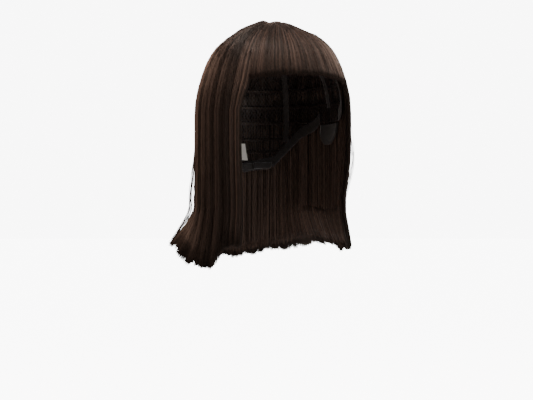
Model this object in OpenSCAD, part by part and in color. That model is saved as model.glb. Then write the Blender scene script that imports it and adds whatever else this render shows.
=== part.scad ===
// Costume wig: a straight, blunt-cut bob with short bangs, sewn on a stretch-net cap.
// Millimetres. The face looks along -Y, the wearer's left is +X and +Z is up.
// The origin is the centre of the head, level with the brow.

/* [Head] */
// Half the width of the head that the cap fits
head_a = 77; // [74:1:80]
// Half the length of the head
head_b = 97; // [94:1:100]
// Height of the top of the head above the brow line
head_c = 96; // [93:1:99]

/* [Cap] */
// Thickness of the stretch net
net_t = 0.8; // [0.6:0.1:0.9]
// Height of the band round the cap's edge, in degrees of the dome
band_deg = 8; // [6:1:9]
// Width of the tapes and ribbons between the crown and the edge
ribbon_w = 7; // [5:1:9]
// Height of a weft's stitched head
weft_h = 3.6; // [3:0.2:4.4]
// Radius of the crown patch, in degrees from the top of the dome
crown_deg = 18; // [16:1:20]

/* [Hair] */
// How far the hair's surface stands off the head at the sides
hair_depth = 10.5; // [10:0.5:12]
// Height of the bangs' cut edge above the brow line, at the middle
bangs_z = 43; // [38:1:50]
// How far the bangs' cut edge falls towards the temples
bangs_arch = 6; // [3:1:9]
// How much wider the ends spread where they rest on the shoulders
flare_share = 0.30; // [0.1:0.02:0.4]
// Height at which the ends begin to spread
flare_z = -116; // [-124:1:-100]

/* [Adjusters] */
// Width of the elastic adjuster straps
strap_w = 9; // [7:1:10]
// How far an adjuster strap slides round the nape, in degrees
strap_turn = 11; // [6:1:12]

/* [Hidden] */
$fn = 48;
ROWS = 8;

// Layers, as offsets from the head: each starts just outside the one before.
gap = 0.3;
tape_t = 0.6;
tape_in = net_t + gap;
tape_out = tape_in + tape_t;
weft_in = tape_out + gap;
weft_out = weft_in + 1.2;
under_in = weft_out + 1.1;
bangs_in = weft_out + 1.3;
outer_in = under_in + 2.8;
under_out = outer_in - 1.8;
crown_puff = 1.3; // the layers stand this much higher on top than at the sides

// The cap's edge: the angle round the head from the face, and its angle above the brow line.
edge_line = [[0, 38], [30, 35], [52, 22], [66, 0], [74, -4], [102, -4],
             [108, -9], [122, -14], [145, -36], [180, -42]];
tape_clear = 2.5; // the tapes end this many degrees above the band
tab_from = 75.5;
tab_to = 100.5;
tab_top = -5.2;
tab_foot = -20;
seam_az = 45;

// Partings of the outer hair: upright planes, so that each section swings clear of the next.
part_x = 62;
part_front = 50;
part_back = 60;
part_gap = 0.4;
face_az = 55; // where a side section's front edge lies beside the face
back_az = 135; // where its back edge lies

// How low the cut ends hang, by the angle round the head: the left side lies on the shoulder,
// and the right side falls in front of it.
hem_left = [[50, -154], [100, -156], [118, -149], [140, -158], [180, -168]];
hem_right = [[50, -153], [66, -154], [71, -160], [75, -174], [80, -179], [87, -177],
             [95, -170], [106, -157], [118, -147], [140, -158], [180, -168]];
// How far the hair under the outer sections closes in on the neck.
neck_line = [[55, 1], [120, 1], [150, 0.86], [180, 0.82]];

fibre = [0.17, 0.125, 0.105];
fibre_top = [0.27, 0.20, 0.165];
net_black = [0.10, 0.085, 0.08];
tape_black = [0.13, 0.11, 0.105];
skin_top = [0.62, 0.50, 0.42];
label_white = [0.86, 0.85, 0.82];
steel = [0.72, 0.72, 0.74];

function wrap(az) = az > 180 ? az - 360 : az;
function edge(az) = lookup(abs(wrap(az)), edge_line);
function hem(az) = lookup(abs(wrap(az)), wrap(az) > 0 ? hem_left : hem_right);
function span(from, to, n) = [for (i = [0:n]) from + (to - from) * i / n];

// A point of the cap: angles round and above the brow line, and an offset from the head.
function on_cap(az, el, t) = [
    (head_a + t) * cos(el) * sin(az),
    -(head_b + t) * cos(el) * cos(az),
    (head_c + crown_puff * t) * sin(el)
];

// A level slice of a layer, as a share of its widest: it narrows above the brow line.
function rise(t) = head_c + crown_puff * t;
function slice(z, t) = sqrt(max(0, 1 - pow(z / rise(t), 2)));
function hang(z, t) = z > 0 ? slice(z, t) : 1;

// The ends spread over the shoulders, which meet the hair behind the ears.
function over_shoulder(az) = pow(max(0, sin((abs(wrap(az)) - 50) * 1.35)), 3.2);
function spread(az, z) = let (drop = max(0, flare_z - z) / (flare_z - hem(az)))
    1 + (0.02 + flare_share * over_shoulder(az)) * pow(drop, 1.2);

function on_hair(az, z, t) = let (s = hang(z, t) * spread(az, z))
    [(head_a + t) * s * sin(az), -(head_b + t) * s * cos(az), z];
function on_neck(az, z, t) = let (
    close = max(lookup(abs(wrap(az)), neck_line), slice(z, t)),
    s = z > 0 ? slice(z, t) : close * spread(az, z))
    [(head_a + t) * s * sin(az), -(head_b + t) * s * cos(az), z];

// A closed solid between two grids of points, or a closed ring of them.
module quilt(inner, outer, ring = false) {
    n = len(inner);
    m = len(inner[0]);
    k = n * m;
    far = (n - 1) * m;
    points = concat([for (row = inner) each row], [for (row = outer) each row]);
    strips = [for (i = [0:(ring ? n - 1 : n - 2)]) [i * m, ((i + 1) % n) * m]];
    skins = [for (c = strips, j = [0:m - 2]) let (a = c[0] + j, b = c[1] + j)
        each [[k + a, k + a + 1, k + b + 1], [k + a, k + b + 1, k + b], [a, b + 1, a + 1], [a, b, b + 1]]];
    rims = [for (c = strips) let (a = c[0], b = c[1], e = m - 1)
        each [[k + a, k + b, b], [k + a, b, a],
              [k + b + e, k + a + e, a + e], [k + b + e, a + e, b + e]]];
    ends = ring ? [] : [for (j = [0:m - 2]) let (b = far + j)
        each [[k + j + 1, k + j, j], [k + j + 1, j, j + 1], [k + b, k + b + 1, b + 1], [k + b, b + 1, b]]];
    function apart(p, q) = norm(points[p] - points[q]) > 1e-6;
    polyhedron(points, [for (f = concat(skins, rims, ends))
        if (apart(f[0], f[1]) && apart(f[1], f[2]) && apart(f[2], f[0])) f], convexity = 6);
}

// A patch of the cap between two edges, each a list of angles above the brow line.
module cap_patch(azs, low, high, rows, t0, t1, ring = false) {
    function skin(t) = [for (i = [0:len(azs) - 1])
        [for (v = span(low[i], high[i], rows)) on_cap(azs[i], v, t)]];
    quilt(skin(t0), skin(t1), ring);
}

module net_panel(from, to) {
    azs = span(from, to, 14);
    low = [for (az = azs) edge(az) + 0.6];
    high = [for (az = azs) 90 - crown_deg - 0.3];
    color(net_black) cap_patch(azs, low, high, 16, 0, net_t);
}

module crown_patch() {
    azs = [for (i = [0:23]) i * 15];
    low = [for (az = azs) 90 - crown_deg];
    color(skin_top) cap_patch(azs, low, [for (az = azs) 90], 4, 0, net_t, ring = true);
}

// A tape of even width down a meridian, from the crown patch to the band.
module meridian_tape(az) {
    els = span(edge(az) + band_deg + tape_clear, 90 - crown_deg - 0.3, 12);
    half = [for (el = els) ribbon_w / (head_a + head_b) / cos(el) * 180 / PI];
    function skin(t) = [for (side = [-1, 1])
        [for (j = [0:12]) on_cap(az + side * half[j], els[j], t)]];
    color(tape_black) quilt(skin(tape_in), skin(tape_out));
}

// The band sewn round the cap's edge.
module edge_band(from, to, steps) {
    azs = span(from, to, steps);
    low = [for (az = azs) edge(az)];
    high = [for (az = azs) edge(az) + band_deg];
    color(tape_black) cap_patch(azs, low, high, 2, tape_in, tape_out);
}

// A weft's stitched head along a latitude.
module weft(el, from, to, steps, ring = false) {
    half = weft_h / 2 / head_c * 180 / PI;
    azs = ring ? [for (i = [0:steps - 1]) i * 360 / steps] : span(from, to, steps);
    low = [for (az = azs) el - half];
    high = [for (az = azs) el + half];
    color(fibre) cap_patch(azs, low, high, 1, weft_in, weft_out, ring);
}

// Rows of weft round the back: each row's height, and the angle where it starts beside the face.
weft_rows = [[-33, 149], [-23.5, 138], [-14, 128], [-2, 116],
             [9, 72], [21, 66], [33, 60], [45, 56]];
module weft_row(i)
    weft(weft_rows[i][0], weft_rows[i][1], 360 - weft_rows[i][1], 24);

// A layer of an ear tab, with a rounded foot.
module tab_layer(side, t0, t1) {
    azs = span(tab_from, tab_to, 12);
    mid = (tab_from + tab_to) / 2;
    low = [for (az = azs) tab_foot + 9 * pow(abs(az - mid) / (tab_to - mid), 3)];
    mirror([side < 0 ? 1 : 0, 0, 0]) cap_patch(azs, low, [for (az = azs) tab_top], 3, t0, t1);
}
module ear_tab(side) color(tape_black) tab_layer(side, 1.4, 2);
module ear_lining(side) color(net_black) tab_layer(side, 0, 0.6);

// The soft steel strip inside an ear tab.
module ear_stay(side) {
    azs = span(86, 90, 2);
    color(steel) mirror([side < 0 ? 1 : 0, 0, 0])
        cap_patch(azs, [for (az = azs) tab_foot + 2], [for (az = azs) tab_top - 1.5], 4, 0.8, 1.2);
}

// The adjusters run round the nape on one cone, so that a strap slides along itself.
nape_y = 26;
nape_z = -57.8;
nape_r = 48.3;
nape_tilt = 37;
run_gap = 0.25; // room that the sliding strap has on every side
strap_t = 1;
wall_t = 0.7;

// A strip on the cone: from one angle to another, with its half width and its two faces.
module nape_strip(side, from, to, half, n0, n1)
    mirror([side < 0 ? 1 : 0, 0, 0]) translate([0, nape_y, nape_z]) rotate([0, 0, from])
    rotate_extrude(angle = to - from)
    polygon([for (c = [[-half, n0], [-half, n1], [half, n1], [half, n0]])
        [nape_r + c[0] * sin(nape_tilt) + c[1] * cos(nape_tilt),
         c[0] * cos(nape_tilt) - c[1] * sin(nape_tilt)]]);

strap_from = 50;
strap_to = 76;
channel_from = 55;
channel_to = 63;
hook_from = 67;
loop_to = strap_to + strap_turn + 2.5;
strap_half = strap_w / 2;
module strap(side)
    color(tape_black) nape_strip(side, strap_from, strap_to, strap_half, -strap_t, 0);
module hook_tape(side)
    color(net_black) nape_strip(side, hook_from, strap_to, strap_half - 0.6, 0.02, 0.6);
module loop_tape(side)
    color(net_black) nape_strip(side, channel_to + 1.5, loop_to, strap_half + 0.6, 0.9, 1.4);
module strap_channel(side) color(tape_black) difference() {
    room = run_gap;
    wall = run_gap + wall_t;
    nape_strip(side, channel_from, channel_to, strap_half + wall, -strap_t - wall, wall);
    nape_strip(side, channel_from - 2, channel_to + 2, strap_half + room, -strap_t - room, room);
}

// A blank label, sewn inside the back of the cap.
module size_label() {
    azs = span(173, 187, 4);
    color(label_white) cap_patch(azs, [for (az = azs) -32], [for (az = azs) -18], 4, -0.9, -0.4);
}

// Hair that lies on the crown, from which all the rest falls: its parts end at the partings.
module hair_crown() {
    xs = span(-part_x + part_gap, part_x - part_gap, 18);
    ys = span(-part_front + part_gap, part_back - part_gap, 18);
    function skin(t) = [for (x = xs) [for (y = ys)
        [x, y, rise(t) * sqrt(1 - pow(x / (head_a + t), 2) - pow(y / (head_b + t), 2))]]];
    color(fibre_top) quilt(skin(under_in), skin(hair_depth));
}

// Heights of a section's rows, from its cut edge to its top. Every section has a row where
// the ends begin to spread, so that the layers bend together there.
function heights(low, top, above) = concat(
    [for (j = [0:5]) low + (flare_z - low) * j / 6],
    [for (j = [0:6]) flare_z * (1 - j / 6)],
    [for (j = [1:above]) top * sin(90 * j / above)]);

// The hair of the lower wefts, under the outer sections.
under_top = 20;
module hair_under(from, to) {
    azs = span(from, to, 16);
    function rows(az) = heights(hem(az) + 6, under_top, 2);
    color(fibre) quilt(
        [for (az = azs) [for (z = rows(az)) on_neck(az, z, under_in)]],
        [for (az = azs) [for (z = rows(az)) on_hair(az, z, under_out)]]);
}

// Angle from the middle plane at which a layer's slice crosses an upright plane beside the head.
function side_az(z, t, x) = asin(min(1, x / ((head_a + t) * hang(z, t))));
function end_az(z, t, y) = acos(min(1, y / ((head_b + t) * hang(z, t))));

// A side section, which swings out and up from its parting. Its columns run the same way
// round on both sides, and its front edge follows the face below the bangs.
module hair_side(side) {
    n = 16;
    x = part_x + part_gap;
    function top(t) = rise(t) * sqrt(1 - pow(x / (head_a + t), 2));
    function front(z, t) = max(side_az(z, t, x), z < 30 ? face_az : 0);
    function column(k, z, t) = side * (front(z, t) + (180 - side_az(z, t, x) - front(z, t)) * k / n);
    function skin(t) = [for (i = [0:n])
        let (k = side > 0 ? i : n - i, low = hem(side * (face_az + (back_az - face_az) * k / n)))
        [for (z = heights(low, top(t), 9)) on_hair(column(k, z, t), z, t)]];
    color(fibre) quilt(skin(outer_in), skin(hair_depth));
}

// The back section, between the two sides.
module hair_back() {
    n = 16;
    function top(t) = rise(t) * sqrt(1 - pow(part_back / (head_b + t), 2));
    function reach(z, t) = min(side_az(z, t, part_x - part_gap), end_az(z, t, part_back));
    function skin(t) = [for (i = [-n / 2:n / 2]) let (share = i / (n / 2), low = hem(180 + 45 * share))
        [for (z = heights(low, top(t), 9)) on_hair(180 + reach(z, t) * share, z, t)]];
    color(fibre) quilt(skin(outer_in), skin(hair_depth));
}

// The bangs, cut in a low arch.
module hair_bangs() {
    n = 18;
    function top(t) = rise(t) * sqrt(1 - pow(part_front / (head_b + t), 2));
    function reach(z, t) = min(side_az(z, t, part_x - part_gap), end_az(z, t, part_front));
    function skin(t) = [for (i = [-n / 2:n / 2])
        let (share = i / (n / 2), low = bangs_z - bangs_arch * pow(share, 2))
        [for (j = [0:9]) let (z = low + (top(t) - low) * sin(90 * j / 9))
            on_hair(reach(z, t) * share, z, t)]];
    color(fibre_top) quilt(skin(bangs_in), skin(hair_depth));
}

crown_patch();
net_panel(-seam_az, seam_az);  // net_front
net_panel(seam_az + 0.4, 180 - seam_az);  // net_left
net_panel(180 - seam_az + 0.4, 180 + seam_az);  // net_back
net_panel(180 + seam_az + 0.4, 360 - seam_az - 0.4);  // net_right
meridian_tape(seam_az);  // seam_tape_front_left
meridian_tape(180 - seam_az);  // seam_tape_back_left
meridian_tape(180 + seam_az);  // seam_tape_back_right
meridian_tape(360 - seam_az);  // seam_tape_front_right
meridian_tape(90);  // ribbon_left
meridian_tape(180);  // ribbon_back
meridian_tape(270);  // ribbon_right
edge_band(-74, 74, 36);  // front_band
edge_band(102, 258, 36);  // nape_band
ear_tab(1);  // ear_tab_left
ear_tab(-1);  // ear_tab_right
ear_lining(1);  // ear_lining_left
ear_lining(-1);  // ear_lining_right
ear_stay(1);  // ear_stay_left
ear_stay(-1);  // ear_stay_right
strap_channel(1);  // strap_channel_left
strap_channel(-1);  // strap_channel_right
loop_tape(1);  // loop_tape_left
loop_tape(-1);  // loop_tape_right
strap(1);  // strap_left
strap(-1);  // strap_right
hook_tape(1);  // hook_tape_left
hook_tape(-1);  // hook_tape_right
size_label();
for (i = [1:ROWS]) weft_row(i - 1);
weft(56, 0, 0, 36, ring = true);  // weft_ring_1
weft(66, 0, 0, 30, ring = true);  // weft_ring_2
weft(48.5, -49, 49, 14);  // weft_bangs_1
weft(44.5, -36, 36, 12);  // weft_bangs_2
weft(52, -52, 52, 14);  // weft_bangs_3
hair_crown();
hair_under(64, 121);  // hair_under_left
hair_under(239, 296);  // hair_under_right
hair_under(122.5, 237.5);  // hair_under_back
hair_bangs();
hair_side(1);  // hair_left
hair_side(-1);  // hair_right
hair_back();
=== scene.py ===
# %% [markdown]
# # A straight costume wig, piece by piece
# A costume wig is two things: a stretch-net cap that grips the head, and thousands of smooth synthetic
# fibres sewn to it in rows. The imported model gives the cap, its partings and its joints. Every visible
# piece here is built round that frame, in metres, and most say which body they move with; the hair's
# hanging sections, the bangs and the loose strands don't.

# %% Load the frame
from math import asin, cos, degrees, pi, radians, sin, sqrt

import bmesh
import bpy
import numpy as np
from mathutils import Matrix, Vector


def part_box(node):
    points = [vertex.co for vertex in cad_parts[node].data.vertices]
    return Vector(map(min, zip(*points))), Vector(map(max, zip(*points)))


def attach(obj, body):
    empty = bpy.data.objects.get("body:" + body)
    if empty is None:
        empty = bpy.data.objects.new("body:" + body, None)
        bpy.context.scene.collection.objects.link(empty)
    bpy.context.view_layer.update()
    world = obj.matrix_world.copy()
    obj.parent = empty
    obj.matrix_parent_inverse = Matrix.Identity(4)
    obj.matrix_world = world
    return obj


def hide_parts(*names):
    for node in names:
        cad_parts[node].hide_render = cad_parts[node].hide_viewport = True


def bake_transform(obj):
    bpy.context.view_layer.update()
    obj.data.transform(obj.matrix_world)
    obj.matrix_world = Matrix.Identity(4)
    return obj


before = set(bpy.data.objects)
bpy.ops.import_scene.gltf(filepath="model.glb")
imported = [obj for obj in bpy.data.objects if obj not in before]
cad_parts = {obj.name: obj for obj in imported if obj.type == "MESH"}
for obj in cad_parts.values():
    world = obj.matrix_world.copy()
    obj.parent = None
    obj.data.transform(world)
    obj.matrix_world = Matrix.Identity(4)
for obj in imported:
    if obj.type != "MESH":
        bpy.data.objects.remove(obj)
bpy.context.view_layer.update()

# %% [markdown]
# ## Sizes
# The head is a half ellipsoid above the brow line. Its three radii come from the net panels, which are
# drawn straight onto it, and the depth of the hair comes from the hair on the crown. Everything else is
# placed by an angle round the head (0 at the face, positive towards the wearer's left), by a height, and
# by how far it stands off the head.

# %% Read the head and the hair's depth
MM = 0.001
NET_T = 0.8 * MM
PUFF = 1.3  # the layers stand this much higher on top than at the sides
head_half_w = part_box("net_left")[1].x - NET_T
head_half_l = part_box("net_back")[1].y - NET_T
head_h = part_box("crown_patch")[1].z - PUFF * NET_T
hair_depth = (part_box("hair_crown")[1].z - head_h) / PUFF
print(f"head {head_half_w:.4f} x {head_half_l:.4f} x {head_h:.4f}, hair {hair_depth:.4f} deep")

# %% Surfaces that the cap and the hair follow
HEM_LEFT = ((50, -154), (100, -156), (118, -149), (140, -158), (180, -168))
HEM_RIGHT = ((50, -153), (66, -154), (71, -161), (75, -172), (80, -178), (87, -176), (95, -170), (106, -158),
             (118, -148), (140, -158), (180, -168))
EDGE_LINE = ((0, 38), (30, 35), (52, 22), (66, 0), (74, -4), (102, -4), (108, -9), (122, -14), (145, -36),
             (180, -42))
NECK_LINE = ((55, 1), (120, 1), (150, 0.86), (180, 0.82))
FLARE_Z = -110 * MM
FLARE_SHARE = 0.30
BANGS_Z, BANGS_ARCH = 43 * MM, 6 * MM
BANGS_AZ = 49.5
VIEW_AZ = -27


def turned(az):
    """An angle round the head, from -180 to 180."""
    return (np.asarray(az, float) + 180) % 360 - 180


def from_face(az):
    """The angle from the face, on either side, of an angle round the head."""
    return np.abs(turned(az))


def look_up(az, line):
    return np.interp(from_face(az), [p[0] for p in line], [p[1] for p in line])


def hem(az):
    """Height of the cut ends, which hang differently on the two sides."""
    return np.where(turned(az) > 0, look_up(az, HEM_LEFT), look_up(az, HEM_RIGHT)) * MM


def spread(az, z):
    """How much wider the hair lies than on the head: the ends rest on the shoulders."""
    drop = np.maximum(0, FLARE_Z - z) / (FLARE_Z - hem(az))
    over = np.maximum(0, np.sin(np.radians((from_face(az) - 50) * 1.35))) ** 3.2
    return 1 + (0.02 + FLARE_SHARE * over) * np.minimum(drop, 1.1) ** 1.35


def pinch(az, z):
    """The front edges draw in towards the jaw before they spread, more on the left."""
    near = np.clip(1 - (from_face(az) - 62) / 22, 0, 1)
    depth = np.where(turned(az) > 0, 6.5, 3.0) * MM
    return -depth * near * np.exp(-((z + 106 * MM) / (36 * MM)) ** 2)


def on_dome(az, el, t):
    """A point of the head's upper half, or of the cap below the brow, at an offset from the head."""
    az, el = np.radians(az), np.radians(el)
    return np.stack([(head_half_w + t) * np.cos(el) * np.sin(az),
                     -(head_half_l + t) * np.cos(el) * np.cos(az),
                     (head_h + PUFF * t) * np.sin(el) + 0 * az], -1)


def on_drop(az, z, t):
    """A point of the hanging hair, below the brow."""
    s, a, t = spread(az, z), np.radians(az), t + pinch(az, z)
    return np.stack([(head_half_w + t) * s * np.sin(a), -(head_half_l + t) * s * np.cos(a), z + 0 * a], -1)


def on_neck(az, z, t):
    """A point of the inner hair, which closes in on the neck at the back."""
    s = np.maximum(look_up(az, NECK_LINE), np.sqrt(np.maximum(0, 1 - (z / (head_h + PUFF * t)) ** 2)))
    return on_drop(az, z, t) * np.stack([s, s, 1 + 0 * s], -1)


def smooth(x):
    x = np.clip(x, 0, 1)
    return x * x * (3 - 2 * x)


def front_shift(az, gone):
    """The front edges lie back from the face below the bangs, at a share gone of the way to the brow line."""
    near = np.clip(1 - (from_face(az) - 51) / 16, 0, 1)
    return 4.5 * np.sign(turned(az)) * near * smooth((gone - 0.78) / 0.22)


print("hem at the sides", hem(90), hem(-90), "spread at the shoulder", spread(117, hem(117)))

# %% [markdown]
# ## Shader sums
# Shader maths reads best as plain sums. A small class wraps a socket, and each sum on it adds a Math node.
# A finish starts from one Principled shader, and one method adds any other node.


# %% A socket that does sums
class Wire:
    def __init__(self, tree, socket):
        self.tree, self.socket = tree, socket

    def sum(self, operation, *values):
        node = self.tree.nodes.new("ShaderNodeMath")
        node.operation = operation
        for slot_in, value in zip(node.inputs, values):
            feed(self.tree, slot_in, value)
        return Wire(self.tree, node.outputs[0])

    def __add__(self, other): return self.sum("ADD", self, other)
    def __rsub__(self, other): return self.sum("SUBTRACT", other, self)
    def __mul__(self, other): return self.sum("MULTIPLY", self, other)
    def __pow__(self, other): return self.sum("POWER", self, other)


def feed(tree, socket, value):
    """Links a wire to a socket, or sets the socket's own value."""
    if isinstance(value, Wire):
        tree.links.new(value.socket, socket)
    else:
        socket.default_value = value


class Finish:
    """A material with one Principled shader, whose fixed values are set on its own sockets."""

    def __init__(self, name, **fixed):
        self.material = bpy.data.materials.new(name)
        self.material.use_nodes = True
        self.tree = self.material.node_tree
        self.shader = self.tree.nodes["Principled BSDF"]
        for socket, value in fixed.items():
            self.set(**{socket: value})

    def set(self, **sockets):
        for name, value in sockets.items():
            feed(self.tree, self.shader.inputs[name.replace("_", " ")], value)

    def node(self, kind, settings=None, output=0, **sockets):
        made = self.tree.nodes.new("ShaderNode" + kind)
        for name, value in (settings or {}).items():
            setattr(made, name, value)
        for name, value in sockets.items():
            feed(self.tree, made.inputs[name.replace("_", " ")], value)
        return Wire(self.tree, made.outputs[output])

    def attribute(self, name):
        return self.node("Attribute", {"attribute_name": name}, output="Fac")

    def noise(self, scale, detail=2.0, vector=None, **more):
        vector = vector or self.node("TexCoord", output="Object")
        return self.node("TexNoise", Vector=vector, Scale=scale, Detail=detail, **more)

    def mix(self, share, dark, light):
        made = self.tree.nodes.new("ShaderNodeMix")
        made.data_type = "RGBA"
        for socket, value in ((0, share), (6, dark), (7, light)):
            feed(self.tree, made.inputs[socket], value)
        return Wire(self.tree, made.outputs[2])

    def range(self, value, low, high):
        """A value's 0 to 1 spread over low to high."""
        return value * (high - low) + low

    def bump(self, height, strength, distance):
        made = self.node("Bump", Height=height, Strength=strength, Distance=distance)
        self.set(Normal=made)


print("shader helper ready")

# %% [markdown]
# ## The fibre
# Wig fibre is smooth plastic thread, so it is glossier than natural hair, and it's dyed in the mass. Its
# colour still varies from lock to lock, because fibres of a few near shades are blended. Each lock here
# carries its own tone and its place along its length. The tone shifts at random from lock to lock, and the
# colour is also darkened from the root towards the cut end, as painted shade for light that dims lower down.

# %% Fibre finishes
def fibre_finish(name, deep, bright, gloss=0.36, painted_tip_shade=0.6, painted_shade_fall=0.8, shine=0.22):
    made = Finish(name, Roughness=gloss, IOR=1.54, Specular_IOR_Level=shine,
                  Specular_Tint=(0.84, 0.66, 0.56, 1))
    tone, along = made.attribute("tone"), made.attribute("along")
    streak = made.noise(260.0, 2.0)
    lock = made.range(tone ** 1.6, 0.05, 1.15) + made.range(streak, -0.10, 0.16)
    # painted shade: the colour is darkened from the root towards the cut end, standing in for light that dims
    # lower down the hair
    share = lock * (1 - along ** painted_shade_fall * painted_tip_shade)
    made.set(Base_Color=made.mix(share, (*deep, 1), (*bright, 1)),
             Roughness=made.range(streak, gloss - 0.05, gloss + 0.12) + along * 0.06)
    made.material.diffuse_color = (*bright, 1)
    return made.material


fibre = fibre_finish("wig_fibre", (0.0030, 0.0020, 0.0016), (0.112, 0.076, 0.061), painted_tip_shade=0.80, painted_shade_fall=0.55)
# painted shade: a darker copy of the fibre for the fringe and the whorl, which the lamp above lights most,
# darkened hard towards the fringe's cut edge where it curves under
fibre_bangs_painted_shade = fibre_finish("wig_fibre_bangs_painted_shade", (0.0035, 0.0023, 0.0018), (0.078, 0.049, 0.038),
                           gloss=0.38, painted_tip_shade=0.78, painted_shade_fall=2.2)
# painted light: a lighter copy of the fibre for the hair, wefts and sheets inside the wig, so the shaded
# inner hair still shows
fibre_under_painted_light = fibre_finish("wig_fibre_under_painted_light", (0.0040, 0.0027, 0.0022), (0.130, 0.088, 0.070),
                           painted_tip_shade=0.3, painted_shade_fall=0.4)
print("fibres:", fibre.name, fibre_bangs_painted_shade.name, fibre_under_painted_light.name)

# %% [markdown]
# ## Cloth, thread and net
# The cap is made of stretch net, woven tape, polyester thread and a patch of pale mesh. Each piece of cloth
# keeps how far every point is along it and up it, in metres, so a weave follows the cloth and not the room.


# %% Cap finishes
def cloth_finish(name, dark, light, pitch, rough=0.8, height=0.12, rib=0.0):
    """Plain weave: two waves that cross, one thread over the next. rib strengthens the waves up the cloth."""
    made = Finish(name, Roughness=rough, Sheen_Weight=0.25, Sheen_Roughness=0.4, Specular_IOR_Level=0.3)
    along, up = made.attribute("run"), made.attribute("climb")
    over = (along * (2 * pi / (2 * pitch))).sum("SINE")
    under = (up * (2 * pi / (2 * pitch))).sum("SINE")
    weave = made.range(over * under, 0.5, 1.0) + (under.sum("ABSOLUTE") * rib if rib else 0.0)
    worn = made.noise(90.0, 4.0)
    shade = made.range(weave, -0.15, 0.6) + made.range(worn, -0.2, 0.4)
    made.set(Base_Color=made.mix(shade, (*dark, 1), (*light, 1)),
             Roughness=made.range(worn, rough - 0.12, rough + 0.08))
    made.bump(weave + worn * 0.3, 0.6, height * MM)
    made.material.diffuse_color = (*light, 1)
    return made.material


def thread_finish(name, dark, light, rough=0.5):
    """Twisted thread: slanting ridges, from its place along its length."""
    made = Finish(name, Roughness=rough, Specular_IOR_Level=0.4, Sheen_Weight=0.15)
    tone, fluff = made.attribute("tone"), made.noise(900.0, 3.0)
    shade = made.range(tone, 0.1, 0.6) + made.range(fluff, -0.1, 0.4)
    made.set(Base_Color=made.mix(shade, (*dark, 1), (*light, 1)),
             Roughness=made.range(fluff, rough - 0.1, rough + 0.15))
    made.bump(fluff, 0.4, 0.08 * MM)
    made.material.diffuse_color = (*light, 1)
    return made.material


tape_cloth = cloth_finish("woven_tape", (0.007, 0.006, 0.006), (0.040, 0.034, 0.032), 0.45 * MM, rib=0.4)
lining_cloth = cloth_finish("tab_lining", (0.010, 0.008, 0.008), (0.045, 0.038, 0.036), 0.30 * MM, 0.9)
skin_cloth = cloth_finish("skin_mesh", (0.22, 0.135, 0.085), (0.52, 0.36, 0.25), 0.35 * MM, 0.75)
label_cloth = cloth_finish("label_satin", (0.50, 0.48, 0.44), (0.80, 0.78, 0.74), 0.20 * MM, 0.42, 0.05)
elastic_cloth = cloth_finish("elastic_strap", (0.006, 0.005, 0.005), (0.035, 0.031, 0.030), 0.55 * MM,
                             0.7, 0.25, rib=0.9)
fluff_cloth = cloth_finish("loop_tape", (0.010, 0.009, 0.009), (0.060, 0.053, 0.050), 0.8 * MM, 0.95, 0.5)
hook_cloth = cloth_finish("hook_tape", (0.004, 0.004, 0.004), (0.028, 0.025, 0.024), 0.6 * MM,
                          0.45, 0.4, rib=0.5)
net_thread = thread_finish("net_thread", (0.010, 0.008, 0.008), (0.050, 0.042, 0.038))
weft_thread = thread_finish("weft_thread", (0.016, 0.012, 0.010), (0.085, 0.065, 0.054))
stitch_thread = thread_finish("stitch_thread", (0.020, 0.018, 0.018), (0.120, 0.108, 0.100), 0.45)
print("cloths and threads ready")

# %% Steel for the stays inside the ear tabs
steel = Finish("brushed_steel", Metallic=1.0, Roughness=0.34)
drawn = steel.node("Mapping", Vector=steel.node("TexCoord", output="Object"), Scale=(1, 1, 30))
scratch = steel.noise(60.0, 6.0, vector=drawn)
steel.set(Base_Color=steel.mix(scratch, (0.36, 0.36, 0.37, 1), (0.62, 0.62, 0.63, 1)),
          Roughness=steel.range(scratch, 0.24, 0.44))
steel.bump(scratch, 0.2, 0.02 * MM)
for side in ("left", "right"):
    stay = bpy.data.objects["ear_stay_" + side]
    stay.data.materials.clear()
    stay.data.materials.append(steel.material)

# %% [markdown]
# ## Makers
# Three makers do nearly all the work. A patch is a grid moved onto a surface and given its thickness. A net
# is a grid turned on edge and made of thread. A set of locks is many thin tubes in one mesh, and it serves
# for hair, for weft stitching and for seams.


# %% Patches and nets
def show(mesh, name, material):
    made = bpy.data.objects.new(name, mesh)
    bpy.context.scene.collection.objects.link(made)
    mesh.materials.clear()
    mesh.materials.append(material)
    return made


def length_of(points):
    return float(np.linalg.norm(np.diff(points, axis=0), axis=1).sum())


def patch(name, columns, rows, place, thickness, material):
    """A grid of columns x rows, moved by place(u, v) onto a surface and thickened outwards."""
    walk, still = np.linspace(0, 1, 60), np.full(60, 0.5)
    wide, tall = length_of(place(walk, still)), length_of(place(still, walk))
    mesh = bpy.data.meshes.new(name)
    bm = bmesh.new()
    bmesh.ops.create_grid(bm, x_segments=columns, y_segments=rows, size=0.5)
    run, climb = bm.verts.layers.float.new("run"), bm.verts.layers.float.new("climb")
    spots = np.array([v.co[:2] for v in bm.verts]) + 0.5
    for vert, spot, (u, v) in zip(bm.verts, place(spots[:, 0], spots[:, 1]), spots):
        vert.co = spot
        vert[run], vert[climb] = u * wide, v * tall
    bmesh.ops.remove_doubles(bm, verts=bm.verts, dist=1e-6)
    bmesh.ops.recalc_face_normals(bm, faces=bm.faces)
    out = sum(f.normal.dot(f.calc_center_median() * Vector((1, 1, 0.5))) * f.calc_area() for f in bm.faces)
    if out < 0:
        bmesh.ops.reverse_faces(bm, faces=bm.faces)
    bmesh.ops.solidify(bm, geom=bm.verts[:] + bm.edges[:] + bm.faces[:], thickness=thickness)
    for face in bm.faces:
        face.smooth = True
    bm.to_mesh(mesh)
    bm.free()
    return show(mesh, name, material)


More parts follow.
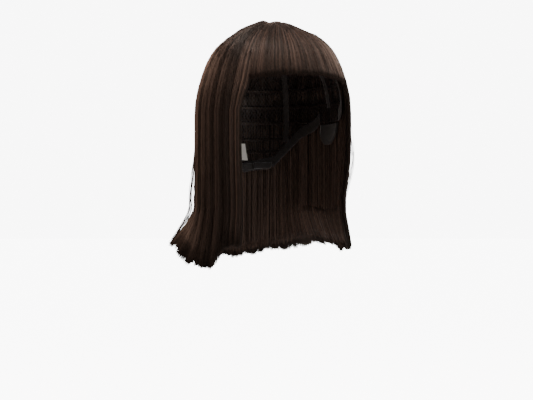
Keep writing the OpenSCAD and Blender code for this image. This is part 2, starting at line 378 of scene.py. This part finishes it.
def net(name, columns, rows, place, thread):
    """A net of diamonds: each square of a grid is split at its middle, and its own edges are taken out."""
    mesh = bpy.data.meshes.new(name)
    bm = bmesh.new()
    bmesh.ops.create_grid(bm, x_segments=columns, y_segments=rows, size=0.5)
    square = [e for e in bm.edges if not e.is_boundary]
    bmesh.ops.poke(bm, faces=bm.faces)
    bmesh.ops.dissolve_edges(bm, edges=square, use_verts=False)
    spots = np.array([v.co[:2] for v in bm.verts]) + 0.5
    for vert, spot in zip(bm.verts, place(spots[:, 0], spots[:, 1])):
        vert.co = spot
    bmesh.ops.wireframe(bm, faces=bm.faces, thickness=thread, use_boundary=True, use_even_offset=False,
                        use_replace=True)
    bmesh.ops.recalc_face_normals(bm, faces=bm.faces)
    bm.to_mesh(mesh)
    bm.free()
    made = show(mesh, name, net_thread)
    print(f"{name}: {sum(len(p.vertices) - 2 for p in mesh.polygons)} triangles")
    return made


# %% Locks, threads and stitches
SIDES = 3  # of a lock's profile


def lock_profile():
    """A three-sided profile, one metre round, that each lock's own radius brings down to size."""
    shape = bpy.data.curves.new("lock_profile", "CURVE")
    spline = shape.splines.new("POLY")
    spline.points.add(SIDES - 1)
    for k, point in enumerate(spline.points):
        point.co = (cos(2 * pi * k / SIDES), sin(2 * pi * k / SIDES), 0, 1)
    spline.use_cyclic_u = True
    shape.dimensions = "2D"
    shape.fill_mode = "NONE"
    made = bpy.data.objects.new("lock_profile", shape)
    bpy.context.scene.collection.objects.link(made)
    return made


PROFILE = lock_profile()


def locks(name, routes, radii, tones, material):
    """One mesh of many locks. routes is locks x points x 3, radii is locks x points."""
    count, steps = radii.shape
    curve = bpy.data.curves.new(name, "CURVE")
    curve.dimensions = "3D"
    curve.bevel_mode = "OBJECT"
    curve.bevel_object = PROFILE
    four = np.ones((count, steps, 4), np.float32)
    four[..., :3] = routes
    for k in range(count):
        spline = curve.splines.new("POLY")
        spline.points.add(steps - 1)
        spline.points.foreach_set("co", four[k].ravel())
        spline.points.foreach_set("radius", radii[k].astype(np.float32))
    source = bpy.data.objects.new(name, curve)
    bpy.context.scene.collection.objects.link(source)
    mesh = bpy.data.meshes.new_from_object(source.evaluated_get(bpy.context.evaluated_depsgraph_get()))
    bpy.data.objects.remove(source)
    bpy.data.curves.remove(curve)
    mesh.name = name
    for label, values in (("tone", np.repeat(tones, steps * SIDES)),
                          ("along", np.tile(np.repeat(np.linspace(0, 1, steps), SIDES), count))):
        mesh.attributes.new(label, "FLOAT", "POINT").data.foreach_set("value", values.astype(np.float32))
    bm = bmesh.new()
    bm.from_mesh(mesh)
    bmesh.ops.holes_fill(bm, edges=bm.edges, sides=SIDES)
    bm.to_mesh(mesh)
    bm.free()
    print(f"{name}: {count} locks, {sum(len(p.vertices) - 2 for p in mesh.polygons)} triangles")
    return show(mesh, name, material)


def even(path, at):
    """Points at given distances along a path."""
    far = np.concatenate([[0], np.cumsum(np.linalg.norm(np.diff(path, axis=0), axis=1))])
    return np.stack([np.interp(at, far, path[:, k]) for k in range(3)], -1)


def stitches(name, paths, pitch=3.2 * MM, lift=0.3 * MM, radius=0.28 * MM):
    """Rows of lockstitch: each stitch dips in at both ends."""
    routes = []
    for path in paths:
        starts = np.arange(0.3 * pitch, length_of(path) - pitch, pitch)
        spots = even(path, (starts[:, None] + np.array([0, 0.1, 0.4, 0.7, 0.8])[None] * pitch).ravel())
        out = spots * [1, 1, 0.6]
        out = out / np.linalg.norm(out, axis=1, keepdims=True)
        rise = np.tile([-0.8, 0.6, 1, 0.6, -0.8], len(starts))[:, None] * lift
        routes.append((spots + out * rise).reshape(-1, 5, 3))
    routes = np.concatenate(routes)
    tones = np.random.default_rng(len(routes)).uniform(0, 1, len(routes))
    made = locks(name, routes, np.full(routes.shape[:2], radius), tones, stitch_thread)
    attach(made, "cap")
    return made


# %% [markdown]
# ## The cap
# Its layers are, from the head outwards: net and crown patch, tapes and edge bands, and the wefts' stitched
# heads. Everything here rides on the cap, apart from the ear tabs and the sliding straps.

# %% Net panels and the crown patch
BAND, CROWN, RIBBON = 8, 18, 7 * MM  # the band's height and the crown's radius in degrees, and a tape's width
SEAM_AZ = 45


def edge(az):
    return look_up(az, EDGE_LINE)


for label, first, last, rows in (("front", -SEAM_AZ, SEAM_AZ, 9), ("left", SEAM_AZ + 0.4, 180 - SEAM_AZ, 22),
                                 ("back", 180 - SEAM_AZ + 0.4, 180 + SEAM_AZ, 30),
                                 ("right", 180 + SEAM_AZ + 0.4, 360 - SEAM_AZ - 0.4, 22)):
    def place(u, v, first=first, last=last):
        az = first + (last - first) * u
        return on_dome(az, edge(az) + 0.6 + (90 - CROWN - 0.9 - edge(az)) * v, 0.4 * MM)

    made = net(f"net_{label}_mesh", 30, rows, place, 0.5 * MM)
    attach(made, "cap")
    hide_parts("net_" + label)

crown = patch("crown_mesh", 72, 10, lambda u, v: on_dome(360 * u, 90 - CROWN * (1 - v), 0.2 * MM),
              0.5 * MM, skin_cloth)
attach(crown, "cap")
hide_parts("crown_patch")

# %% Tapes, bands and their seams
TAPE_IN, TAPE_T, TAPE_CLEAR = 1.1 * MM, 0.6 * MM, 2.5
seams = []
for name, az in (("seam_tape_front_left", SEAM_AZ), ("seam_tape_back_left", 180 - SEAM_AZ),
                 ("seam_tape_back_right", 180 + SEAM_AZ), ("seam_tape_front_right", 360 - SEAM_AZ),
                 ("ribbon_left", 90), ("ribbon_back", 180), ("ribbon_right", 270)):
    def place(u, v, az=az, t=TAPE_IN):
        el = edge(az) + BAND + TAPE_CLEAR + (90 - CROWN - 0.3 - edge(az) - BAND - TAPE_CLEAR) * v
        half = np.degrees(RIBBON / (head_half_w + head_half_l) / np.cos(np.radians(el)))
        return on_dome(az + (2 * u - 1) * half, el, t)

    made = patch(name + "_cloth", 8, 40, place, TAPE_T, tape_cloth)
    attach(made, "cap")
    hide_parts(name)
    seams += [place(np.full(80, k), np.linspace(0.01, 0.99, 80), t=TAPE_IN - 0.1 * MM) for k in (0.14, 0.86)]
for name, first, last in (("front_band", -74, 74), ("nape_band", 102, 258)):
    def place(u, v, first=first, last=last, t=TAPE_IN):
        az = first + (last - first) * u
        return on_dome(az, edge(az) + BAND * v, t + 0.25 * MM * np.exp(-((v - 0.04) / 0.06) ** 2))

    made = patch(name + "_cloth", 120, 12, place, TAPE_T, tape_cloth)
    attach(made, "cap")
    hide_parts(name)
    seams += [place(np.linspace(0, 1, 240), np.full(240, k), t=TAPE_IN - 0.15 * MM) for k in (0.13, 0.88)]
stitches("cap_seams", seams, lift=-0.3 * MM)

# %% Wefts: a folded head of fibre, held by a zigzag and a straight seam
WEFT_IN, WEFT_T, WEFT_H = 2.0 * MM, 1.2 * MM, 3.6 * MM
WEFTS = [(f"weft_row_{k + 1}", el, start, 360 - start) for k, (el, start) in enumerate(
    ((-33, 149), (-23.5, 138), (-14, 128), (-2, 116), (9, 72), (21, 66), (33, 60), (45, 56)))]
WEFTS += [("weft_ring_1", 56, 0, 360), ("weft_ring_2", 66, 0, 360), ("weft_bangs_1", 48.5, -49, 49),
          ("weft_bangs_2", 44.5, -36, 36), ("weft_bangs_3", 52, -52, 52)]
HALF = degrees(WEFT_H / 2 / head_h)
for name, el, first, last in WEFTS:
    def place(u, v, el=el, first=first, last=last):
        ripple = 0.12 * MM * np.sin(u * (last - first) * 2.4)
        return on_dome(first + (last - first) * u, el + (2 * v - 1) * HALF, WEFT_IN + 0.2 * MM + ripple)

    path = on_dome(np.linspace(first, last, 400), el, WEFT_IN)
    zigs = int(length_of(path) / (1.5 * MM))
    head = patch(name + "_head", max(24, zigs // 3), 4, place, WEFT_T - 0.4 * MM, fibre_under_painted_light)
    swing_el = np.where(np.arange(zigs) % 2, -0.72, 0.72) * HALF
    zigzag = on_dome(np.linspace(first, last, zigs), el + swing_el, WEFT_IN + 0.05 * MM)
    made = locks(name + "_thread", zigzag[None], np.full((1, zigs), 0.2 * MM), np.array([0.5]),
                 weft_thread)
    for piece in (head, made):
        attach(piece, "cap")
    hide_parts(name)

# %% Ear tabs and the blank label
TAB_FROM, TAB_TO, TAB_TOP, TAB_FOOT = 75.5, 100.5, -5.2, -20
for side, sign in (("left", 1), ("right", -1)):
    def place(u, v, sign=sign, t=1.4 * MM):
        az = TAB_FROM + (TAB_TO - TAB_FROM) * u
        low = TAB_FOOT + 9 * np.abs(2 * u - 1) ** 3
        return on_dome(sign * az, low + (TAB_TOP - low) * v, t + 0.25 * MM * np.sin(pi * u) * np.sin(pi * v))

    tab = patch(f"ear_tab_{side}_cloth", 30, 20, place, 0.5 * MM, tape_cloth)
    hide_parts("ear_tab_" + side)
    lining = patch(f"ear_lining_{side}_cloth", 30, 20, lambda u, v: place(u, v, t=0.02 * MM),
                   0.4 * MM, lining_cloth)
    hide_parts("ear_lining_" + side)
    walk, ends = np.linspace(0.1, 0.9, 60), np.linspace(0.9, 0.12, 40)
    rim = np.concatenate([place(np.full(40, 0.1), ends, t=0), place(walk, np.full(60, 0.12), t=0),
                          place(np.full(40, 0.9), ends[::-1], t=0)])
    starts = np.arange(0, length_of(rim) - 3 * MM, 3 * MM)
    rows = even(rim, starts[:, None] + np.array([0, 0.3, 1.0, 1.7, 2.0])[None] * MM)
    sunk = rows + np.array([-0.16 * MM * sign, 0, 0])
    seam = locks(f"ear_seam_{side}", sunk, np.full(rows.shape[:2], 0.2 * MM), np.linspace(0, 1, len(rows)),
                 stitch_thread)
    for piece in (tab, lining, seam):
        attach(piece, "tab_" + side)



def label_place(u, v):
    return on_dome(173 + 14 * u, -32 + 14 * v, -0.85 * MM + 0.25 * MM * np.sin(3 * pi * u) * (1 - v))


label = patch("blank_label", 24, 24, label_place, 0.3 * MM, label_cloth)
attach(label, "cap")
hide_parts("size_label")

# %% Adjusters: elastic straps that slide through their channels and catch on a loop tape
NAPE_Y, NAPE_Z, NAPE_R, TILT = 26 * MM, -57.8 * MM, 48.3 * MM, radians(37)
STRAP_HALF, STRAP_T, ROOM, WALL = 4.5 * MM, 1.0 * MM, 0.25 * MM, 0.7 * MM


def on_nape(sign, turn, across, n):
    """A point of the cone round the nape: an angle round it, and offsets across it and out from it."""
    r = NAPE_R + across * sin(TILT) + n * cos(TILT)
    turn = np.radians(turn)
    return np.stack([sign * r * np.cos(turn), NAPE_Y + r * np.sin(turn),
                     NAPE_Z + across * cos(TILT) - n * sin(TILT)], -1)


for side, sign in (("left", 1), ("right", -1)):
    def strip(name, first, last, half, n0, n1, cloth, body, sign=sign):
        def place(u, v):
            return on_nape(sign, first + (last - first) * u, (2 * v - 1) * half, n0)

        made = patch(name, 60, 8, place, n1 - n0, cloth)
        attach(made, body)
        return made

    made = strip(f"strap_{side}_elastic", 50, 76, STRAP_HALF, -STRAP_T, 0, elastic_cloth,
                 "adjuster_" + side)
    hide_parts("strap_" + side)
    made = strip(f"hook_tape_{side}_cloth", 67, 76, STRAP_HALF - 0.6 * MM, 0.05 * MM, 0.6 * MM,
                 hook_cloth, "adjuster_" + side)
    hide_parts("hook_tape_" + side)
    made = strip(f"loop_tape_{side}_cloth", 64.5, 89.5, STRAP_HALF + 0.6 * MM, 0.9 * MM, 1.4 * MM,
                 fluff_cloth, "cap")
    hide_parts("loop_tape_" + side)

    def round_strap(u, v, sign=sign):
        turn, a = 55 + 8 * u, 2 * pi * v
        square = lambda x: np.sign(x) * np.abs(x) ** 0.35
        return on_nape(sign, turn, (STRAP_HALF + ROOM + WALL / 2) * square(np.cos(a)),
                       -STRAP_T / 2 + (STRAP_T / 2 + ROOM + WALL / 2) * square(np.sin(a)))

    made = patch(f"strap_channel_{side}_cloth", 12, 48, round_strap, WALL * 0.6, tape_cloth)
    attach(made, "cap")
    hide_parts("strap_channel_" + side)

# %% [markdown]
# ## Combing hair
# Real hair is far too many fibres to model, so each lock stands for a few dozen of them: a thin closed tube
# that tapers at both ends. The route of a lock is worked out in two stretches: over the dome, from the whorl
# on the crown outwards, and then straight down. Combed fibre also gathers, in wide soft bands and in narrow
# ones, which stand a little proud and draw together near their cut ends.

# %% Routes over the dome
WHORL = np.array([0.046, -0.120, 1.0])
WHORL = WHORL / np.linalg.norm(WHORL)


def crown_wave(x, y):
    """A soft ridge each side of the whorl, and a dip between them."""
    a = radians(VIEW_AZ)
    across, away = (x * cos(a) + y * sin(a)) / MM, (-x * sin(a) + y * cos(a)) / MM
    ridge = 1.2 * np.exp(-((across + 12) / 6) ** 2) - 2.2 * np.exp(-((across + 4) / 2.4) ** 2)
    ridge = ridge + 1.0 * np.exp(-((across - 6) / 4) ** 2) - 4.8 * np.exp(-((across - 35) / 13) ** 2)
    return ridge * np.exp(-((away + 14) / 24) ** 2) * MM


def route_dome(az, share, t):
    """A point on the way from the whorl (share 0) to the brow line (share 1)."""
    a = np.radians(az)
    goal = np.stack([np.sin(a), -np.cos(a), 0 * a], -1)
    angle = np.arccos(goal @ WHORL)[..., None]
    s = share[..., None]
    p = (np.sin((1 - s) * angle) * WHORL + np.sin(s * angle) * goal) / np.sin(angle)
    p = p / np.linalg.norm(p, axis=-1, keepdims=True)
    fuller = np.exp(-((p[..., 2] - 0.66) / 0.2) ** 2)  # a little way below the crown
    t = t + 2.4 * MM * fuller * np.clip(t / hair_depth, 0, 1)
    x, y = (head_half_w + t) * p[..., 0], (head_half_l + t) * p[..., 1]
    z = (head_h + PUFF * t) * p[..., 2] + crown_wave(x, y) * np.clip(t / hair_depth, 0, 1)
    return np.stack([x, y, z], -1)


def clump_of(az, centres):
    """Each lock's nearest clump: its number, and how far from its middle the lock lies, -1 to 1."""
    edges = (centres[1:] + centres[:-1]) / 2
    k = np.searchsorted(edges, az)
    width = np.gradient(centres)
    return k, np.clip((az - centres[k]) / (width[k] / 2), -1, 1)


# Each band: width in degrees, pull, how proud and how uneven its ends are in mm, and how its shade varies.
BANDS = ((5.4, 0.16, 1.3, 1.4, 0.34), (1.9, 0.30, 0.4, 0.9, 0.18))
BACK_BANDS = ((5.4, 0.16, 1.0, 1.4, 0.16), (1.9, 0.30, 0.4, 0.9, 0.12))


def comb(name, material, az_range, count, layer, roots, seed, steps=(7, 7), radius=0.36, bands=BANDS,
         end=None, swirl=14.0, late=0.35, rise_share=0.12, ends_in=0.0):
    """Locks of one section. layer is the depth's range and roots the range of start shares, 0 at the whorl.
    A section with an end stops at that height on the dome, and any other falls to the hem."""
    draw = np.random.default_rng(seed)
    low, high = az_range
    az = draw.uniform(low, high, count)
    depth = draw.uniform(*layer, count) * MM
    root = roots[0] + (roots[1] - roots[0]) * np.sqrt(draw.uniform(0, 1, count))
    shift, proud, cut_shift, tones = 0, 0, draw.normal(0, 0.9 * MM, count), draw.normal(0.42, 0.14, count)
    for width, pull, stand, uneven, shade in bands:
        centres = np.arange(low, high + width, width)
        centres = centres + draw.uniform(-0.25, 0.25, len(centres)) * width
        k, across = clump_of(az, centres)
        shift = shift - (across * width / 2 * pull)[:, None]
        proud = proud + stand * MM * (0.5 - across ** 2) + draw.normal(0, stand * 0.5 * MM, len(centres))[k]
        cut_shift = cut_shift + draw.normal(0, uneven * MM, len(centres))[k]
        tones = tones + draw.normal(0, shade, len(centres))[k]
    up, down = steps
    # painted shade: the hanging hair is made darker along its front edges, next to the face opening
    if end is None:  # the falling hair is darker along its front edges
        tones = tones - 0.45 * np.clip(1 - (from_face(az) - 51) / 9, 0, 1)
    if end is not None:
        cut = end(az, root, cut_shift)
        share = root[:, None] + (cut - root)[:, None] * np.linspace(0, 1, up)[None]
        drop = np.zeros((count, 0))
    else:
        share = root[:, None] + (1 - root[:, None]) * np.linspace(0, 1, up)[None]
        drop = (hem(az) + cut_shift)[:, None] * (np.linspace(0, 1, down + 1)[1:] ** 0.85)[None]
    along = np.linspace(0, 1, up + drop.shape[1])[None]
    gather = smooth((along - late) / (1 - late))
    lean = draw.normal(0, 0.5, (count, 1))
    turns, start = draw.uniform(3, 7, (count, 1)), draw.uniform(0, 6.3, (count, 1))
    wave = lean * gather + 0.35 * np.sin(along * turns + start) * gather
    gone = np.clip(np.concatenate([share, np.ones_like(drop)], 1), 0, 1)
    angle = az[:, None] + shift * gather + wave - swirl * (1 - gone) ** 2
    if end is None:
        angle = angle + front_shift(az[:, None], gone)
    rise = smooth((gone - root[:, None]) / rise_share)
    t = 4.5 * MM + (depth[:, None] - 4.5 * MM) * rise + proud[:, None] * rise * smooth(along / 0.5)
    t = t - ends_in * MM * smooth((along - 0.6) / 0.4)
    routes = route_dome(angle[:, :up], share, t[:, :up])
    if drop.shape[1]:
        routes = np.concatenate([routes, on_drop(angle[:, up:], drop, t[:, up:])], 1)
    taper = np.clip(np.minimum(along / 0.08 + 0.4, (1 - along) / 0.08 + 0.45), 0, 1)
    radii = radius * MM * draw.uniform(0.75, 1.2, (count, 1)) * taper
    return locks(name, routes, radii, np.clip(tones, 0, 1), material)


# %% [markdown]
# ## The hair's sections
# Between two partings the hair swings as one section, and above its parting it stays on the cap. The
# sections' pieces here only have their placing baked in, and are not bound to a body.


def swing(piece):
    """Bakes a piece's placing into its mesh; the piece is not bent or tied to a section's body."""
    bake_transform(piece)
    return piece


# %% Outer hair
def bangs_cut(az):
    return BANGS_Z - BANGS_ARCH * (from_face(az) / BANGS_AZ) ** 2


def bangs_end(az, root, uneven):
    """Share of the way to the brow line at which the bangs are cut."""
    return 1 - np.degrees(np.arcsin((bangs_cut(az) + 0.35 * uneven) / (head_h + PUFF * hair_depth))) / 90


def crown_end(az, root, uneven):
    return root + 0.30 + 40 * uneven


SPANS = {"left": (51, 135.5), "right": (224.5, 309), "back": (134.5, 225.5)}
outer = {}
for k, (label, span) in enumerate(SPANS.items()):
    body = label if label == "back" else "side_" + label
    for part, layer, roots, count in (("outer", (8.4, 10.2), (0.03, 0.55), 2300),
                                      ("mid", (6.2, 8.6), (0.25, 0.8), 1700)):
        made = comb(f"hair_{label}_{part}", fibre, span, count, layer, roots, 20 + 2 * k + len(part),
                    bands=BACK_BANDS if label == "back" else BANDS)
        outer[label] = outer.get(label) or made
        swing(made)
BANGS_BANDS = ((6, 0.05, 0.35, 0.7, 0.07), (1.6, 0.40, 0.25, 0.7, 0.20))
WHORL_BANDS = ((9, 0.05, 0.3, 0.5, 0.05), (3, 0.15, 0.2, 0.5, 0.05))
for part, layer, roots, seed, count in (("outer", (8.8, 10.2), (0.03, 0.5), 41, 2850),
                                        ("mid", (6.0, 8.8), (0.2, 0.62), 42, 2200)):
    made = comb(f"hair_bangs_{part}", fibre_bangs_painted_shade, (-BANGS_AZ - 1.5, BANGS_AZ + 1.5), count, layer, roots,
                seed, steps=(12, 0), radius=0.30, bands=BANGS_BANDS, end=bangs_end, late=0.72)
    outer[part] = swing(made)
made = comb("hair_crown_whorl", fibre_bangs_painted_shade, (0, 360), 1500, (9.6, 10.6), (0.02, 0.10), 51, steps=(9, 0),
            end=crown_end, rise_share=0.07, ends_in=2.2, late=0.2, swirl=20.0, bands=WHORL_BANDS)
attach(made, "cap")
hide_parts("hair_crown")


def closure(u, v):
    """The knot of pale mesh that closes the whorl: a small dome on the hair's surface."""
    t, wide = 9.7 * MM, 2.4 * MM
    x = WHORL[0] * (head_half_w + t) + wide * (1 - v) * np.cos(2 * pi * u)
    y = WHORL[1] * (head_half_l + t) + wide * (1 - v) * np.sin(2 * pi * u)
    level = np.sqrt(1 - (x / (head_half_w + t)) ** 2 - (y / (head_half_l + t)) ** 2)
    z = (head_h + PUFF * t) * level + crown_wave(x, y) + 0.9 * MM * (1 - (1 - v) ** 2)
    return np.stack([x, y, z], -1)


knot = patch("crown_closure", 32, 8, closure, 0.4 * MM, skin_cloth)
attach(knot, "cap")
for label in SPANS:
    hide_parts("hair_" + label)
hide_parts("hair_bangs")

# %% [markdown]
# ## The layer behind the locks
# Locks alone let light through where they part. Behind them a thin dark skin of fibre closes each section,
# as the dense inner fibres do. It starts as a flat grid, which is moved onto the hair's surface and then
# given its thickness.


# %% Sheets of fibre
def hair_sheet(name, az_range, t, top, columns=60, rows=40):
    """A sheet of fibre from a height on the dome down to just above the hem."""
    first, last = az_range
    top_el = degrees(asin(top / (head_h + PUFF * t)))

    def place(u, v):
        az = first + (last - first) * u
        el = np.maximum(0, (v - 0.4) / 0.6) * top_el
        az = az + front_shift(az, 1 - el / 90)
        z = (hem(az) + 8 * MM) * np.maximum(0, 1 - v / 0.4)
        ripple = t + 0.4 * MM * np.sin(np.radians(az * 52))
        return np.where((v > 0.4)[:, None], on_dome(az, el, ripple), on_drop(az, z, ripple))

    return patch(name, columns, rows, place, 0.6 * MM, fibre_under_painted_light)


for label, span in (("left", (52.5, 135)), ("right", (225, 307.5)), ("back", (135, 225))):
    body = label if label == "back" else "side_" + label
    swing(hair_sheet(f"hair_{label}_base", span, 6.4 * MM, 103 * MM))


def bangs_place(u, v):
    az = (2 * u - 1) * BANGS_AZ
    cut = np.degrees(np.arcsin((bangs_cut(az) + 4 * MM) / (head_h + PUFF * hair_depth)))
    return on_dome(az, cut + (84 - cut) * v, 5.6 * MM + 0.4 * MM * np.sin(np.radians(az * 60)))


swing(patch("hair_bangs_base", 60, 30, bangs_place, 0.6 * MM, fibre_under_painted_light))
made = patch("hair_crown_base", 72, 12, lambda u, v: on_dome(360 * u, 62 + 28 * v, (6.8 + 1.2 * v) * MM),
             0.6 * MM, fibre_under_painted_light)
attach(made, "cap")

# %% Hair of the lower wefts, which hangs inside the rest and closes in on the neck
UNDER_IN, UNDER_OUT, UNDER_TOP = 4.3 * MM, 5.3 * MM, 20 * MM


def through(az, z, share):
    """A point of the under hair, from its inner face (share 0) to its outer (share 1)."""
    share = np.asarray(share)[..., None]
    narrow = np.sqrt(np.maximum(0, 1 - (np.maximum(z, 0) / (head_h + PUFF * UNDER_OUT)) ** 2))
    narrow = np.stack([narrow, narrow, 1 + 0 * narrow], -1)
    return on_neck(az, z, UNDER_IN) * (1 - share) + on_drop(az, z, UNDER_OUT) * narrow * share


for label, first, last, count in (("left", 64, 122, 620), ("right", 238, 296, 620),
                                  ("back", 121.5, 238.5, 1500)):
    draw = np.random.default_rng(count + int(first))
    az = draw.uniform(first, last, count)
    top = draw.uniform(0.2, 0.95, count) * UNDER_TOP
    if label == "back":
        rows = np.sin(np.radians([-33, -23.5, -14, -2])) * head_h
        top = np.where(draw.uniform(0, 1, count) < 0.5, rows[draw.integers(0, 4, count)], top)
    low = hem(az) + 7 * MM + draw.normal(0, 1.6 * MM, count)
    along = np.linspace(0, 1, 13)[None] ** 0.75
    k, across = clump_of(az, np.arange(first, last + 3, 3.0))
    inside = draw.uniform(0, 1, count) < 0.62
    layer = np.where(inside, draw.uniform(0.02, 0.25, count), draw.uniform(0.75, 0.98, count))
    angle = az[:, None] - (across * 0.5)[:, None] * smooth(along) + draw.normal(0, 0.4, (count, 1)) * along
    z = top[:, None] + (low - top)[:, None] * along
    routes = through(angle, z, layer[:, None] + 0 * along)
    taper = np.clip(np.minimum(along / 0.06 + 0.4, (1 - along) / 0.1 + 0.3), 0, 1)
    radii = 0.42 * MM * draw.uniform(0.8, 1.2, (count, 1)) * taper
    tones = np.clip(draw.normal(0.45, 0.22, count), 0, 1)
    hung = locks(f"hair_under_{label}_locks", routes, radii, tones, fibre_under_painted_light)

    def place(u, v, first=first, last=last):
        az = first + (last - first) * u
        return through(az, UNDER_TOP * 0.9 * v + (hem(az) + 12 * MM) * (1 - v), 0.55 + 0 * u)

    sheet = patch(f"hair_under_{label}_base", 48, 30, place, 0.4 * MM, fibre_under_painted_light)
    for piece in (hung, sheet):
        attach(piece, "cap")
    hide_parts("hair_under_" + label)

# %% Loose strands, which stand off the surface
def loose(name, az, count, bow, seed, wander=2.0, radius=0.15, bow_z=-95, width=45):
    """Single strands that leave the hair near the brow and bow outwards, most at the height bow_z in mm."""
    draw = np.random.default_rng(seed)
    turn = az + draw.normal(0, wander, (count, 1))
    along = np.linspace(0, 1, 16)[None]
    top = draw.uniform(-30, 15, (count, 1)) * MM
    z = top + (hem(turn) + draw.uniform(-2, 14, (count, 1)) * MM - top) * along
    off = ((z / MM - bow_z + draw.normal(0, 8, (count, 1))) / width) ** 2
    out = draw.uniform(0.4, 1.0, (count, 1)) * bow * MM * np.exp(-off) * smooth(along / 0.2)
    turn = turn + draw.normal(0, 0.8, (count, 1)) * along
    routes = on_drop(turn, z, (8.5 + 1.7 * smooth(along / 0.2)) * MM + out)
    radii = radius * MM * np.clip((1 - along) / 0.1 + 0.4, 0, 1) + np.zeros((count, 1))
    made = locks(name, routes, radii, draw.uniform(0.2, 0.9, count), fibre)
    return swing(made)


loose("strands_right", 243, 30, 7.5, 71, 1.5, 0.17, -100, 34)
loose("strands_right_wide", 262, 30, 2.5, 72, 14.0)
loose("strands_left", 63, 16, 6.0, 73, 2.0, 0.15, -55, 32)
loose("strands_left_wide", 96, 30, 2.5, 74, 14.0)
loose("strands_back", 180, 40, 2.5, 75, 20.0)
print("loose strands done")

# %% [markdown]
# ## The stage
# A plain pale floor and soft light from above, as in a product picture. The backdrop looks white to the
# camera but lights the wig gently, so the dark fibre keeps its depth. The camera looks from the wearer's
# right front, level with the chin.


# %% Floor, lights and camera
def light(name, at, size, power, colour=(1, 1, 1)):
    lamp = bpy.data.lights.new(name, "AREA")
    lamp.shape, lamp.size, lamp.energy, lamp.color = "DISK", size, power, colour
    made = bpy.data.objects.new(name, lamp)
    made.location = at
    made.rotation_euler = (-Vector(at)).to_track_quat("-Z", "Y").to_euler()
    bpy.context.scene.collection.objects.link(made)


bpy.ops.mesh.primitive_circle_add(vertices=64, radius=30, fill_type="NGON", location=(0, 0, -0.42))
floor = bpy.context.object
floor.name = "floor"
paint = Finish("floor_paint", Base_Color=(0.45, 0.45, 0.45, 1), Roughness=0.9, Emission_Strength=9.0)
seen_by_camera = paint.node("LightPath", output="Is Camera Ray")
paint.set(Emission_Color=paint.mix(seen_by_camera, (0, 0, 0, 1), (1, 1, 1, 1)))
floor.data.materials.append(paint.material)

world = bpy.data.worlds.new("studio")
bpy.context.scene.world = world
world.use_nodes = True
nodes, links = world.node_tree.nodes, world.node_tree.links
seen, back = nodes.new("ShaderNodeLightPath"), nodes.new("ShaderNodeBackground")
back.inputs["Strength"].default_value = 10.6
nodes["Background"].inputs["Color"].default_value = (1, 0.98, 0.96, 1)
nodes["Background"].inputs["Strength"].default_value = 0.40
pick = nodes.new("ShaderNodeMixShader")
links.new(seen.outputs["Is Camera Ray"], pick.inputs[0])
links.new(nodes["Background"].outputs[0], pick.inputs[1])
links.new(back.outputs[0], pick.inputs[2])
links.new(pick.outputs[0], nodes["World Output"].inputs["Surface"])
light("top_light", (-0.15, -0.45, 1.8), 1.2, 48, (1, 0.96, 0.92))
light("side_light", (1.7, -1.0, 0.9), 1.0, 13, (1, 0.86, 0.78))
light("rim_left", (-1.7, 0.3, 1.2), 0.9, 46, (1, 0.72, 0.58))
light("rim_right", (1.6, 0.5, 1.0), 0.9, 20, (1, 0.72, 0.58))
light("front_light", (0.5, -1.6, -0.25), 0.9, 17)

VIEW_DISTANCE, VIEW_Z = 1.75, -130 * MM
FRAME_WIDTH = 629 * MM  # how much the frame takes in, at the head
camera = bpy.data.objects.new("camera", bpy.data.cameras.new("camera"))
bpy.context.scene.collection.objects.link(camera)
bpy.context.scene.camera = camera
camera.location = (sin(radians(VIEW_AZ)) * VIEW_DISTANCE, -cos(radians(VIEW_AZ)) * VIEW_DISTANCE, VIEW_Z)
camera.rotation_euler = (radians(90), 0, radians(VIEW_AZ))
camera.data.lens = camera.data.sensor_width * VIEW_DISTANCE / FRAME_WIDTH
camera.data.shift_x = -6.5 * MM / FRAME_WIDTH
camera.data.shift_y = 29.5 * MM / FRAME_WIDTH
print("camera lens", round(camera.data.lens, 1), "mm")

# %% Remove the lock profile
bpy.data.objects.remove(PROFILE)
